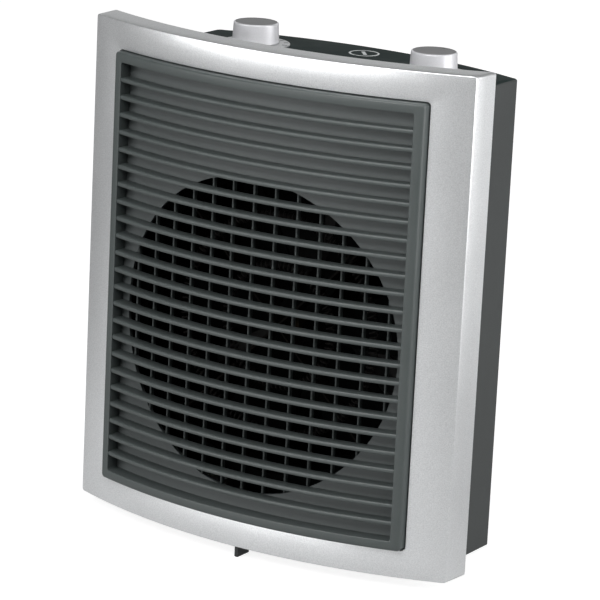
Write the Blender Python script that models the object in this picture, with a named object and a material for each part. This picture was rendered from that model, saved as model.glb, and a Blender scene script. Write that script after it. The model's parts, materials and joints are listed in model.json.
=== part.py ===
"""Fan convector heater: a bowed silver bezel with a slatted grille on a dark box, two knobs on top.

Metres, +Z up, X to the viewer's right, the front faces -Y. The origin is on the floor, under the
middle of the heater's box. Lengths below are written in millimetres times MM.
"""

import math

import bmesh
import bpy
from mathutils import Matrix, Vector

MM = 0.001
FIT_GAP = 0.3 * MM

# Bezel: a rectangular frame bowed towards the viewer about a vertical axis.
BEZEL_WIDTH = 245.4 * MM
BEZEL_HEIGHT = 280.0 * MM
BEZEL_FOOT = 7.2 * MM
BEZEL_SAGITTA = 24.8 * MM
BEZEL_DEPTH = 17.4 * MM
BEZEL_FLARE = 1.2 * MM
WALL = 2.4 * MM
BEZEL_TOP = BEZEL_FOOT + BEZEL_HEIGHT
BEZEL_MID = BEZEL_FOOT + BEZEL_HEIGHT / 2
BOW_SEGMENTS = 12

# Grille: a frame that stands a little proud of the bezel, and its slats.
GRILLE_HALF = 100.0 * MM
GRILLE_HEIGHT = 247.2 * MM
GRILLE_PROUD = 4.8 * MM
GRILLE_BORDER = 5.4 * MM
GRILLE_GAP = 0.6 * MM
GRILLE_BACK = 4.4 * MM
GRILLE_FLANGE = 3.0 * MM
SLAT_COUNT = 23
SLAT_PITCH = 9.85 * MM
SLAT_THICK = 2.5 * MM
SLAT_PROUD = 4.3 * MM
SLAT_BACK = 4.4 * MM

# Baffle panel behind the slats, with the round air outlet and its guard ribs.
PANEL_FRONT = 4.7 * MM
PANEL_BACK = 7.1 * MM
OUTLET_RADIUS = 88.9 * MM
OUTLET_Z = BEZEL_FOOT + 120.0 * MM
RIB_PITCH = 13.75 * MM
RIB_THICK = 1.3 * MM
RIB_FRONT = 5.0 * MM
RIB_BACK = 7.7 * MM
POST_X = GRILLE_HALF - 0.4 * MM

# Rear housing: the dark box, its back bowed away from the viewer.
BOX_HALF = 99.8 * MM
BOX_BOTTOM = 2.0 * MM
BOX_TOP = 270.5 * MM
BOX_SIDE_DEPTH = 86.6 * MM
BOX_MID_DEPTH = 106.4 * MM
BOX_CORNER = 4.0 * MM
INNER_CORNER = 1.5 * MM
CORNER_STEPS = 3
INTAKE_ROWS = 12
INTAKE_PITCH = 11.6 * MM
INTAKE_SLOT = 4.4 * MM
INTAKE_RADIUS = 76.0 * MM
INTAKE_BRIDGE = 5.0 * MM
INTAKE_CUT = 30.0 * MM
FILTER_HALF = 79.0 * MM
FILTER_HALF_HEIGHT = 70.0 * MM
FILTER_THICK = 1.2 * MM
FILTER_GAP = 0.5 * MM
FLANGE_HALF = 119.4 * MM
FLANGE_FRONT = 15.0 * MM
FLANGE_INSET = 3.2 * MM

# The bezel's front corners lie in the plane Y = CHORD_Y, so that the whole is centred on Y = 0.
CHORD_Y = (GRILLE_PROUD + BEZEL_SAGITTA - BOX_MID_DEPTH) / 2
BOW_RADIUS = (BEZEL_WIDTH**2 / 4 + BEZEL_SAGITTA**2) / (2 * BEZEL_SAGITTA)
BACK_SAGITTA = BOX_MID_DEPTH - BOX_SIDE_DEPTH
BACK_RADIUS = (BOX_HALF**2 + BACK_SAGITTA**2) / (2 * BACK_SAGITTA)

# Controls on the top.
KNOB_X = 58.6 * MM
KNOB_Y = CHORD_Y + 64.3 * MM
KNOB_TOP = 283.45 * MM
KNOB_TOP_RADIUS = 12.7 * MM
KNOB_BASE_RADIUS = 13.3 * MM
DIAL_RADIUS = 19.7 * MM
DIAL_THICK = 0.7 * MM
DIAL_Z = BOX_TOP + FIT_GAP
KNOB_BASE = DIAL_Z + DIAL_THICK + 0.4 * MM
BUSHING_RADIUS = 4.7 * MM
SPINDLE_RADIUS = 3.0 * MM

# Fan and motor, on the outlet's axis.
DUCT_RADIUS = 84.0 * MM
DUCT_FRONT = CHORD_Y + 4.0 * MM
DUCT_BACK = CHORD_Y + 52.0 * MM
SUPPORT_BACK = DUCT_FRONT + 17.0 * MM
IMPELLER_RADIUS = 78.0 * MM
IMPELLER_Y = CHORD_Y + 42.0 * MM
BLADE_COUNT = 6
MOTOR_RADIUS = 26.0 * MM
MOTOR_FRONT = CHORD_Y + 62.0 * MM
MOTOR_BACK = CHORD_Y + 90.0 * MM
SHAFT_RADIUS = 2.5 * MM
BRACKET_ANGLES = (90, 210, 330)
LUG_RADIUS = 89.5 * MM
DUCT_FLANGE_RADIUS = 94.5 * MM
DUCT_WALL = 2.2 * MM

# Heating element in the duct's mouth.
COIL_INNER_RADIUS = 34.0 * MM
COIL_OUTER_RADIUS = 62.0 * MM
COIL_TUBE = 3.3 * MM
COIL_Y = DUCT_FRONT + 7.2 * MM
BOARD_HALF_THICK = 0.6 * MM

# Tip-over switch under the middle of the bezel.
PADDLE_THICK = 2.4 * MM
PADDLE_FRONT = CHORD_Y - 21.7 * MM
PADDLE_BACK = CHORD_Y - 10.2 * MM
PADDLE_TIP = 0.1 * MM

# Feet, housing screws and cord entry.
FOOT_X = 82.0 * MM
FOOT_FRONT_Y = CHORD_Y + 18.0 * MM
FOOT_REAR_Y = CHORD_Y + 76.0 * MM
FOOT_RADIUS = 7.0 * MM
BOSS_X = 111.9 * MM
BOSS_HEIGHTS = (40.0 * MM, 254.4 * MM)
GLAND_X = -76.0 * MM
GLAND_Z = 13.6 * MM
GLAND_PAD_RADIUS = 11.0 * MM
GLAND_PAD_Y = CHORD_Y + 98.6 * MM
GLAND_BORE = 4.1 * MM
GLAND_SLEEVE = 6.3 * MM
CLAMP_X = -66.0 * MM
CLAMP_Y = CHORD_Y + 66.0 * MM
TERMINAL_Y = CHORD_Y + 48.0 * MM


# ---------------------------------------------------------------- scene and materials


def clear_scene():
    for obj in list(bpy.data.objects):
        bpy.data.objects.remove(obj)


def material(name, color, metallic, roughness):
    made = bpy.data.materials.new(name)
    made.use_nodes = True
    shader = made.node_tree.nodes["Principled BSDF"]
    shader.inputs["Base Color"].default_value = (*color, 1.0)
    shader.inputs["Metallic"].default_value = metallic
    shader.inputs["Roughness"].default_value = roughness
    return made


def make_materials():
    return {
        "silver": material("silver_paint", (0.62, 0.64, 0.65), 0.75, 0.38),
        "knob": material("knob_silver", (0.66, 0.67, 0.69), 0.85, 0.32),
        "charcoal": material("charcoal_plastic", (0.075, 0.082, 0.085), 0.0, 0.45),
        "black": material("black_plastic", (0.02, 0.024, 0.024), 0.0, 0.5),
        "steel": material("zinc_steel", (0.6, 0.6, 0.58), 1.0, 0.35),
        "brass": material("brass", (0.75, 0.58, 0.28), 1.0, 0.3),
        "mica": material("mica_board", (0.62, 0.55, 0.45), 0.0, 0.7),
        "wire": material("resistance_wire", (0.35, 0.3, 0.27), 1.0, 0.5),
        "rubber": material("foot_rubber", (0.03, 0.03, 0.03), 0.0, 0.85),
        "nylon": material("white_nylon", (0.78, 0.77, 0.72), 0.0, 0.5),
    }


# ---------------------------------------------------------------- mesh helpers


def bow(x):
    """Y of the bezel's front surface at x."""
    return CHORD_Y - (math.sqrt(BOW_RADIUS**2 - x**2) - (BOW_RADIUS - BEZEL_SAGITTA))


def back_bow(x):
    """Y of the box's outer back at x."""
    rise = math.sqrt(BACK_RADIUS**2 - x**2) - (BACK_RADIUS - BACK_SAGITTA)
    return CHORD_Y + BOX_SIDE_DEPTH + rise


def spread(low, high, count):
    """count + 1 evenly spaced values."""
    return [low + (high - low) * step / count for step in range(count + 1)]


def tube_of_rings(rings, loop=False):
    """A mesh whose rings, each a list of points, are joined one after the other."""
    mesh = bmesh.new()
    made = [[mesh.verts.new(point) for point in ring] for ring in rings]
    pairs = list(zip(made, made[1:]))
    if loop:
        pairs.append((made[-1], made[0]))
    else:
        mesh.faces.new(made[0])
        mesh.faces.new(made[-1])
    for first, second in pairs:
        size = len(first)
        for at in range(size):
            after = (at + 1) % size
            mesh.faces.new((first[at], first[after], second[after], second[at]))
    bmesh.ops.recalc_face_normals(mesh, faces=mesh.faces)
    return mesh


def block(low, high):
    mesh = bmesh.new()
    bmesh.ops.create_cube(mesh, size=1.0)
    size = [b - a for a, b in zip(low, high)]
    middle = [(a + b) / 2 for a, b in zip(low, high)]
    bmesh.ops.scale(mesh, vec=size, verts=mesh.verts)
    bmesh.ops.translate(mesh, vec=middle, verts=mesh.verts)
    return mesh


def prism(outline, low, high):
    """An outline in X and Y, raised from z = low to z = high."""
    return tube_of_rings([[(x, y, z) for x, y in outline] for z in (low, high)])


def turned(profile, centre, axis="Z", segments=32):
    """Turns a closed profile of (radius, height) points about an axis through centre."""
    mesh = bmesh.new()
    columns = []
    for radius, height in profile:
        if radius < 1e-7:
            columns.append([mesh.verts.new((0, 0, height))] * segments)
            continue
        ring = []
        for step in range(segments):
            angle = 2 * math.pi * step / segments
            ring.append(mesh.verts.new((radius * math.cos(angle), radius * math.sin(angle), height)))
        columns.append(ring)
    for first, second in zip(columns, columns[1:] + columns[:1]):
        for at in range(segments):
            after = (at + 1) % segments
            corners = [first[at], first[after], second[after], second[at]]
            kept = list(dict.fromkeys(corners))
            if len(kept) > 2:
                mesh.faces.new(kept)
    bmesh.ops.recalc_face_normals(mesh, faces=mesh.faces)
    turn = {"Z": Matrix(), "Y": Matrix.Rotation(math.radians(-90), 4, "X")}[axis]
    bmesh.ops.transform(mesh, matrix=Matrix.Translation(centre) @ turn, verts=mesh.verts)
    return mesh


def disc(radius, low, high, centre, axis="Z", segments=32):
    return turned([(0, low), (radius, low), (radius, high), (0, high)], centre, axis, segments)


def ring(inner, outer, low, high, centre, axis="Z", segments=32):
    profile = [(inner, low), (outer, low), (outer, high), (inner, high)]
    return turned(profile, centre, axis, segments)


def bent_bar(section, half, segments=BOW_SEGMENTS):
    """Sweeps a section of (depth, z) points along X, following the bow of the bezel."""
    stations = spread(-half, half, segments)
    return tube_of_rings([[(x, bow(x) + depth, z) for depth, z in section] for x in stations])


def bent_frame(half, low, high, profile):
    """Sweeps a profile of (side inset, top inset, depth) points round a bowed rectangle."""
    along = spread(-1.0, 1.0, BOW_SEGMENTS)
    stations = [(t, -1) for t in along] + [(t, 1) for t in reversed(along)]
    rings = []
    for t, end in stations:
        points = []
        for side_inset, top_inset, depth in profile:
            x = t * (half - side_inset)
            z = low + top_inset if end < 0 else high - top_inset
            points.append((x, bow(x) + depth, z))
        rings.append(points)
    return tube_of_rings(rings, loop=True)


def bowed_plate(half, low, high, front, back):
    """A plate parallel to the bezel's front, between two depths behind it."""
    along = spread(-half, half, BOW_SEGMENTS)
    outline = [(x, bow(x) + front) for x in along]
    outline += [(x, bow(x) + back) for x in reversed(along)]
    return prism(outline, low, high)


def merged(*meshes):
    """Several closed meshes in one bmesh, for use as one Boolean operand."""
    whole = bmesh.new()
    for mesh in meshes:
        held = bpy.data.meshes.new("held")
        mesh.to_mesh(held)
        mesh.free()
        whole.from_mesh(held)
        bpy.data.meshes.remove(held)
    return whole


def add_object(name, mesh, origin=(0, 0, 0)):
    data = bpy.data.meshes.new(name)
    bmesh.ops.translate(mesh, vec=-Vector(origin), verts=mesh.verts)
    mesh.to_mesh(data)
    mesh.free()
    obj = bpy.data.objects.new(name, data)
    obj.location = origin
    bpy.context.scene.collection.objects.link(obj)
    return obj


def piece(name, mesh, mat, origin=(0, 0, 0), adds=(), cuts=(), late_adds=(), smooth=35):
    """A visible sub-part: its base mesh, meshes joined to it, meshes cut from it, meshes joined last."""
    obj = add_object(name, mesh, origin)
    obj.data.materials.append(mat)
    obj.data.shade_smooth()
    obj.data.set_sharp_from_angle(angle=math.radians(smooth))
    operands = [("UNION", part) for part in adds]
    operands += [("DIFFERENCE", part) for part in cuts]
    operands += [("UNION", part) for part in late_adds]
    for number, (operation, part) in enumerate(operands):
        helper = add_object(f"{name}-helper-{number}", part)
        helper.hide_render = True
        helper.display_type = "WIRE"
        step = obj.modifiers.new(f"{operation.lower()}-{number}", "BOOLEAN")
        step.operation = operation
        step.solver = "EXACT"
        step.use_self = operation == "UNION"
        step.object = helper
    return obj


def hex_nut(name, bore, across, low, high, centre, axis, mat, origin):
    """A six-sided nut between two heights along its axis, with a round bore."""
    base = disc(across / math.sqrt(3), low, high, centre, axis, segments=6)
    hole = disc(bore, low - 1 * MM, high + 1 * MM, centre, axis, segments=20)
    piece(name, base, mat, origin=origin, cuts=[hole], smooth=20)


def upright_cylinder(radius, x, y, low, high, segments=20):
    return disc(radius, low, high, (x, y, 0), segments=segments)


def level_cylinder(radius, x, z, front, back, segments=20):
    """A cylinder along Y from y = front to y = back."""
    return disc(radius, front, back, (x, 0, z), "Y", segments)


# ---------------------------------------------------------------- front


def front_bezel(mats):
    side = BEZEL_WIDTH / 2 - GRILLE_HALF - GRILLE_GAP
    above = (BEZEL_HEIGHT - GRILLE_HEIGHT) / 2 - GRILLE_GAP
    profile = [
        (0.5 * MM, 0.5 * MM, 0),
        (0, 0, 0.5 * MM),
        (-BEZEL_FLARE, 0, BEZEL_DEPTH),
        (WALL - BEZEL_FLARE, WALL, BEZEL_DEPTH),
        (WALL, WALL, WALL),
        (side, above, WALL),
        (side, above, 0),
    ]
    base = bent_frame(BEZEL_WIDTH / 2, BEZEL_FOOT, BEZEL_TOP, profile)
    bosses, holes = [], []
    for x in (-BOSS_X, BOSS_X):
        for z in BOSS_HEIGHTS:
            front = bow(x) + WALL - 0.6 * MM
            back = bow(x) + FLANGE_FRONT - 1.5 * MM
            bosses.append(level_cylinder(4.4 * MM, x, z, front, back, 16))
            holes.append(level_cylinder(1.6 * MM, x, z, back - 9 * MM, back + 2 * MM, 12))
    slot_low = (-PADDLE_THICK / 2 - FIT_GAP, PADDLE_FRONT - 0.4 * MM, BEZEL_FOOT - 2 * MM)
    slot_high = (PADDLE_THICK / 2 + FIT_GAP, PADDLE_BACK + FIT_GAP, BEZEL_FOOT + WALL + 2 * MM)
    slot = block(slot_low, slot_high)
    piece("front_bezel", base, mats["silver"], adds=[merged(*bosses)], cuts=[merged(*holes), slot])


def slat_section(z):
    """A slat's section, a little thinner at its back."""
    front, back, half = -SLAT_PROUD, SLAT_BACK, SLAT_THICK / 2
    taper = 0.3 * MM
    return [(front, z + half), (back, z + half - taper), (back, z - half + taper), (front, z - half)]


def front_grille(mats):
    low = BEZEL_MID - GRILLE_HEIGHT / 2
    high = BEZEL_MID + GRILLE_HEIGHT / 2
    edge = 0.7 * MM
    lip = -GRILLE_FLANGE
    lip_front = WALL + FIT_GAP
    profile = [
        (edge, edge, -GRILLE_PROUD),
        (0, 0, -GRILLE_PROUD + edge),
        (0, 0, lip_front),
        (lip, lip, lip_front),
        (lip, lip, GRILLE_BACK),
        (GRILLE_BORDER, GRILLE_BORDER, GRILLE_BACK),
        (GRILLE_BORDER, GRILLE_BORDER, -GRILLE_PROUD + edge),
        (GRILLE_BORDER - edge, GRILLE_BORDER - edge, -GRILLE_PROUD),
    ]
    frame = bent_frame(GRILLE_HALF, low, high, profile)
    half = GRILLE_HALF - GRILLE_BORDER + 1.5 * MM
    slats = []
    for number in range(SLAT_COUNT):
        z = BEZEL_MID + (number - (SLAT_COUNT - 1) / 2) * SLAT_PITCH
        slats.append(bent_bar(slat_section(z), half))
    piece("front_grille", frame, mats["charcoal"], adds=[merged(*slats)])


def baffle_panel(mats):
    low = BEZEL_MID - GRILLE_HEIGHT / 2 - GRILLE_FLANGE
    high = BEZEL_MID + GRILLE_HEIGHT / 2 + GRILLE_FLANGE
    half = GRILLE_HALF + GRILLE_FLANGE
    base = bowed_plate(half, low, high, PANEL_FRONT, PANEL_BACK)
    hole_front = bow(0) - 5 * MM
    hole = level_cylinder(OUTLET_RADIUS, 0, OUTLET_Z, hole_front, CHORD_Y + 20 * MM, 56)
    ribs = []
    reach = int(OUTLET_RADIUS / RIB_PITCH)
    for number in range(-reach, reach + 1):
        x = number * RIB_PITCH
        tall = math.sqrt(OUTLET_RADIUS**2 - x**2) + 1.6 * MM
        near, far = bow(x) + RIB_FRONT, bow(x) + RIB_BACK
        sides = (x - RIB_THICK / 2, x + RIB_THICK / 2)
        ribs.append(block((sides[0], near, OUTLET_Z - tall), (sides[1], far, OUTLET_Z + tall)))
    posts = []
    for x in (-POST_X, POST_X):
        for z in (low + 8 * MM, high - 8 * MM):
            back = bow(x) + FLANGE_FRONT - 1.2 * MM
            posts.append(level_cylinder(2.6 * MM, x, z, bow(x) + PANEL_BACK - 1 * MM, back, 10))
    bars = [merged(*ribs), merged(*posts)]
    piece("baffle_panel", base, mats["charcoal"], cuts=[hole], late_adds=bars)


# ---------------------------------------------------------------- rear housing


def box_outline(inset, front):
    """The box's plan: front edge parallel to the bezel, sides, rounded corners and bowed back."""
    half = BOX_HALF - inset
    corner = max(BOX_CORNER - inset, INNER_CORNER)
    outline = [(x, bow(x) + front) for x in spread(-half, half, BOW_SEGMENTS)]
    reach = half - corner
    rear = back_bow(reach) - inset
    right = []
    for angle in spread(math.pi / 2, 0, CORNER_STEPS):
        x = reach + corner * math.sin(angle)
        y = rear - corner * (1 - math.cos(angle))
        right.append((x, y))
    outline += right
    middle = spread(reach, -reach, BOW_SEGMENTS)[1:-1]
    outline += [(x, back_bow(x) - inset) for x in middle]
    outline += [(-x, y) for x, y in reversed(right)]
    return outline


def intake_slots():
    """Rows of level slots through the bowed back, in two columns."""
    slots = []
    front = CHORD_Y + 84 * MM
    for row in range(INTAKE_ROWS):
        rise = (row - (INTAKE_ROWS - 1) / 2) * INTAKE_PITCH
        reach = math.sqrt(INTAKE_RADIUS**2 - rise**2)
        low, high = OUTLET_Z + rise - INTAKE_SLOT / 2, OUTLET_Z + rise + INTAKE_SLOT / 2
        for side in (-1, 1):
            near, far = sorted((side * INTAKE_BRIDGE, side * reach))
            slots.append(block((near, front, low), (far, front + INTAKE_CUT, high)))
    return merged(*slots)


def rear_housing(mats):
    outer = prism(box_outline(0, FLANGE_FRONT), BEZEL_FOOT + FLANGE_INSET, BOX_TOP)
    skirt_top = BEZEL_FOOT + FLANGE_INSET + 4 * MM
    skirt = prism(box_outline(0, BEZEL_DEPTH + FIT_GAP), BOX_BOTTOM, skirt_top)
    low, high = BEZEL_FOOT + FLANGE_INSET, BEZEL_TOP - FLANGE_INSET
    flange = bowed_plate(FLANGE_HALF, low, high, FLANGE_FRONT, BEZEL_DEPTH)
    room = prism(box_outline(WALL, BEZEL_DEPTH + WALL), BOX_BOTTOM + WALL, BOX_TOP - WALL)
    mouth = prism(box_outline(WALL, FLANGE_FRONT - 4 * MM), low + WALL, BOX_TOP - WALL - 0.5 * MM)
    holes = []
    for x in (-BOSS_X, BOSS_X):
        for z in BOSS_HEIGHTS:
            holes.append(level_cylinder(2.0 * MM, x, z, bow(x) + 8 * MM, bow(x) + 26 * MM, 12))
    for x in (-KNOB_X, KNOB_X):
        hole = upright_cylinder(5.1 * MM, x, KNOB_Y, BOX_TOP - 9 * MM, BOX_TOP + 5 * MM)
        holes.append(hole)
    for x in (-FOOT_X, FOOT_X):
        for y in (FOOT_FRONT_Y, FOOT_REAR_Y):
            holes.append(upright_cylinder(2.4 * MM, x, y, -2 * MM, BOX_BOTTOM + WALL + 2 * MM, 12))
    pad = level_cylinder(GLAND_PAD_RADIUS, GLAND_X, GLAND_Z, GLAND_PAD_Y - 12 * MM, GLAND_PAD_Y, 28)
    gland_hole_radius = GLAND_SLEEVE + FIT_GAP
    front = GLAND_PAD_Y - 20 * MM
    gland_hole = level_cylinder(gland_hole_radius, GLAND_X, GLAND_Z, front, GLAND_PAD_Y + 4 * MM, 24)
    piece(
        "rear_housing",
        outer,
        mats["charcoal"],
        adds=[skirt, flange, pad],
        cuts=[room, mouth, merged(*holes), gland_hole, intake_slots()],
    )


def intake_filter(mats):
    """A thin bowed sheet of dark filter mesh just inside the intake slots."""
    rear = WALL + FILTER_GAP
    front = rear + FILTER_THICK
    along = spread(-FILTER_HALF, FILTER_HALF, BOW_SEGMENTS)
    outline = [(x, back_bow(x) - front) for x in along]
    outline += [(x, back_bow(x) - rear) for x in reversed(along)]
    sheet = prism(outline, OUTLET_Z - FILTER_HALF_HEIGHT, OUTLET_Z + FILTER_HALF_HEIGHT)
    piece("intake_filter", sheet, mats["black"])


def feet(mats):
    edge = 0.6 * MM
    stem = 2.1 * MM
    stem_top = BOX_BOTTOM + WALL + 1.5 * MM
    profile = [
        (0, 0),
        (FOOT_RADIUS - edge, 0),
        (FOOT_RADIUS, edge),
        (FOOT_RADIUS, BOX_BOTTOM - FIT_GAP),
        (stem, BOX_BOTTOM - FIT_GAP),
        (stem, stem_top),
        (0, stem_top),
    ]
    places = {
        "foot_front_left": (-FOOT_X, FOOT_FRONT_Y),
        "foot_front_right": (FOOT_X, FOOT_FRONT_Y),
        "foot_rear_left": (-FOOT_X, FOOT_REAR_Y),
        "foot_rear_right": (FOOT_X, FOOT_REAR_Y),
    }
    for name, (x, y) in places.items():
        piece(name, turned(profile, (x, y, 0), segments=20), mats["rubber"], origin=(x, y, 0))


def head_slot(low, high, length, centre_matrix):
    """A bar, for the slot in a screw's head."""
    half = length / 2
    wide = length / 8
    bar = block((-half, -wide, low), (half, wide, high))
    bmesh.ops.transform(bar, matrix=centre_matrix, verts=bar.verts)
    return bar


def screw(name, place, mats, head=3.4 * MM, shank=1.2 * MM, length=10 * MM):
    """A pan-head screw. place takes its Z axis to the screw's outward direction, 0 under the head."""
    profile = [
        (0, -length),
        (shank, -length + 1.2 * MM),
        (shank, 0),
        (head, 0),
        (head, 1.0 * MM),
        (head * 0.7, 1.9 * MM),
        (0, 1.9 * MM),
    ]
    mesh = turned(profile, (0, 0, 0), segments=12)
    bmesh.ops.transform(mesh, matrix=place, verts=mesh.verts)
    slot = head_slot(1.2 * MM, 4 * MM, head * 3, place)
    piece(name, mesh, mats["steel"], origin=place.translation, cuts=[slot])


def facing_back(x, y, z):
    return Matrix.Translation((x, y, z)) @ Matrix.Rotation(math.radians(-90), 4, "X")


def housing_screws(mats):
    number = 0
    for x in (-BOSS_X, BOSS_X):
        for z in BOSS_HEIGHTS:
            number += 1
            slack = 1.7 * MM
            y = bow(x) + BEZEL_DEPTH + slack
            screw(f"housing_screw_{number}", facing_back(x, y, z), mats, length=11 * MM)


# ---------------------------------------------------------------- controls


def knob_profile():
    dish = 0.7 * MM
    pocket = 8.6 * MM
    ceiling = KNOB_BASE + 3.6 * MM
    socket = SPINDLE_RADIUS + FIT_GAP
    roof = KNOB_TOP - 2.4 * MM
    return [
        (0, roof),
        (socket, roof),
        (socket, ceiling),
        (pocket, ceiling),
        (pocket, KNOB_BASE),
        (KNOB_BASE_RADIUS, KNOB_BASE),
        (KNOB_TOP_RADIUS + 0.1 * MM, KNOB_TOP - 1.3 * MM),
        (KNOB_TOP_RADIUS - 0.4 * MM, KNOB_TOP - 0.4 * MM),
        (KNOB_TOP_RADIUS - 1.3 * MM, KNOB_TOP),
        (KNOB_TOP_RADIUS * 0.6, KNOB_TOP - dish * 0.7),
        (0, KNOB_TOP - dish),
    ]


def control(role, x, mats, body_size):
    """One control: knob and spindle turn together, the rest is fixed to the housing's top."""
    centre = (x, KNOB_Y, 0)
    axis_foot = (x, KNOB_Y, KNOB_BASE)
    nub_low = (x - 0.9 * MM, KNOB_Y + KNOB_TOP_RADIUS - 4.5 * MM, KNOB_TOP - 1.2 * MM)
    nub = block(nub_low, (x + 0.9 * MM, KNOB_Y + KNOB_TOP_RADIUS - 0.9 * MM, KNOB_TOP))
    knob = turned(knob_profile(), centre, segments=24)
    piece(f"{role}_knob", knob, mats["knob"], origin=axis_foot, adds=[nub])
    spindle_low = BOX_TOP - WALL - 6 * MM
    spindle = disc(SPINDLE_RADIUS, spindle_low, KNOB_TOP - 2.8 * MM, centre, segments=16)
    flat_low = (x - 5 * MM, KNOB_Y + 1.9 * MM, KNOB_BASE + 4 * MM)
    flat = block(flat_low, (x + 5 * MM, KNOB_Y + 6 * MM, KNOB_TOP))
    piece(f"{role}_spindle", spindle, mats["steel"], origin=axis_foot, cuts=[flat])
    dial_bore = BUSHING_RADIUS + 0.4 * MM
    dial = ring(dial_bore, DIAL_RADIUS, DIAL_Z, DIAL_Z + DIAL_THICK, centre, segments=28)
    piece(f"{role}_dial", dial, mats["silver"], origin=axis_foot)
    nut_low = DIAL_Z + DIAL_THICK + FIT_GAP
    nut_bore = BUSHING_RADIUS + 0.2 * MM
    nut_top = nut_low + 2.2 * MM
    brass = mats["brass"]
    hex_nut(f"{role}_nut", nut_bore, 13 * MM, nut_low, nut_top, centre, "Z", brass, axis_foot)
    top = BOX_TOP - WALL - FIT_GAP
    half = body_size / 2
    case = block((x - half, KNOB_Y - half, top - 22 * MM), (x + half, KNOB_Y + half, top))
    bushing = upright_cylinder(BUSHING_RADIUS, x, KNOB_Y, top - 3 * MM, nut_low + 2.6 * MM, 16)
    bore_radius = SPINDLE_RADIUS + FIT_GAP
    bore = upright_cylinder(bore_radius, x, KNOB_Y, spindle_low - FIT_GAP, BOX_TOP + 9 * MM, 16)
    piece(f"{role}_body", case, mats["black"], adds=[bushing], cuts=[bore])


# ---------------------------------------------------------------- heater element


def element_support(mats):
    """Crossed mica boards that carry the heating coils inside the duct's mouth."""
    front, back = DUCT_FRONT + 5 * MM, SUPPORT_BACK
    reach = DUCT_RADIUS - 1.0 * MM
    boards = []
    for degrees in (45, 135):
        board = block((-reach, front, -BOARD_HALF_THICK), (reach, back, BOARD_HALF_THICK))
        turn = Matrix.Translation((0, 0, OUTLET_Z)) @ Matrix.Rotation(math.radians(degrees), 4, "Y")
        bmesh.ops.transform(board, matrix=turn, verts=board.verts)
        boards.append(board)
    notches = []
    room = COIL_TUBE + 0.7 * MM
    for radius in (COIL_INNER_RADIUS, COIL_OUTER_RADIUS):
        low, high = front - 2 * MM, COIL_Y + room
        notches.append(ring(radius - room, radius + room, low, high, (0, 0, OUTLET_Z), "Y", 32))
    piece("element_support", boards[0], mats["mica"], adds=[boards[1]], cuts=notches)


def coil(name, radius, mats):
    """A ring of coiled resistance wire, as its outer shape."""
    sides = 6
    profile = []
    for step in range(sides):
        angle = 2 * math.pi * step / sides
        profile.append((radius + COIL_TUBE * math.cos(angle), COIL_Y + COIL_TUBE * math.sin(angle)))
    piece(name, turned(profile, (0, 0, OUTLET_Z), "Y", 28), mats["wire"])


def thermal_cutout(mats):
    y = SUPPORT_BACK + FIT_GAP
    disc_mesh = level_cylinder(7 * MM, 0, OUTLET_Z, y, y + 4 * MM, 16)
    piece("thermal_cutout", disc_mesh, mats["brass"])


# ---------------------------------------------------------------- fan and motor


def lug_centres():
    """The angle, x and z of each lug that joins the motor's bracket to the duct."""
    for degrees in BRACKET_ANGLES:
        angle = math.radians(degrees)
        yield degrees, LUG_RADIUS * math.cos(angle), OUTLET_Z + LUG_RADIUS * math.sin(angle)


def air_duct(mats):
    """The round duct about the fan, with a front flange, posts to the panel and three rear lugs."""
    outer = DUCT_RADIUS + DUCT_WALL
    profile = [
        (DUCT_RADIUS, DUCT_FRONT),
        (DUCT_FLANGE_RADIUS, DUCT_FRONT),
        (DUCT_FLANGE_RADIUS, DUCT_FRONT + DUCT_WALL),
        (outer, DUCT_FRONT + DUCT_WALL),
        (outer, DUCT_BACK),
        (DUCT_RADIUS, DUCT_BACK),
    ]
    base = turned(profile, (0, 0, OUTLET_Z), "Y", 36)
    posts, holes = [], []
    offset = 65 * MM
    for x in (-offset, offset):
        for z in (OUTLET_Z - offset, OUTLET_Z + offset):
            front = bow(offset + 3 * MM) + PANEL_BACK + FIT_GAP
            posts.append(level_cylinder(2.6 * MM, x, z, front, DUCT_FRONT + 1 * MM, 12))
    for _, x, z in lug_centres():
        posts.append(level_cylinder(5 * MM, x, z, DUCT_BACK - 10 * MM, DUCT_BACK, 16))
        holes.append(level_cylinder(1.6 * MM, x, z, DUCT_BACK - 8 * MM, DUCT_BACK + 4 * MM, 12))
    piece("air_duct", base, mats["black"], adds=[merged(*posts)], cuts=[merged(*holes)])


def blade(start):
    """One fan blade: a thin twisted plate from the hub to the tip."""
    radial, chordwise = 3, 2
    thick = 0.8 * MM
    sheets = []
    for side in (-1, 1):
        sheet = []
        for across in spread(0, 1, radial):
            radius = 15 * MM + (IMPELLER_RADIUS - 15 * MM) * across
            pitch = math.radians(48 - 26 * across)
            chord = 26 * MM + 14 * MM * across
            row = []
            for along in spread(-0.5, 0.5, chordwise):
                sweep = chord * along * math.cos(pitch) / radius
                angle = start + sweep + 0.12 * across
                y = IMPELLER_Y + chord * along * math.sin(pitch) + side * thick
                row.append((radius * math.cos(angle), y, OUTLET_Z + radius * math.sin(angle)))
            sheet.append(row)
        sheets.append(sheet)
    rings = []
    for inner_row, outer_row in zip(*sheets):
        rings.append(inner_row + outer_row[::-1])
    return tube_of_rings(rings)


def fan_impeller(mats):
    hub_low, hub_high = IMPELLER_Y - 9 * MM, IMPELLER_Y + 9 * MM
    bore = SHAFT_RADIUS + 0.05 * MM
    profile = [
        (bore, hub_low + 1 * MM),
        (14 * MM, hub_low),
        (18 * MM, hub_low + 4 * MM),
        (18 * MM, hub_high),
        (bore, hub_high),
    ]
    base = turned(profile, (0, 0, OUTLET_Z), "Y", 28)
    blades = [blade(2 * math.pi * number / BLADE_COUNT) for number in range(BLADE_COUNT)]
    hub = (0, IMPELLER_Y, OUTLET_Z)
    piece("fan_impeller", base, mats["black"], origin=hub, adds=[merged(*blades)])


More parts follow.
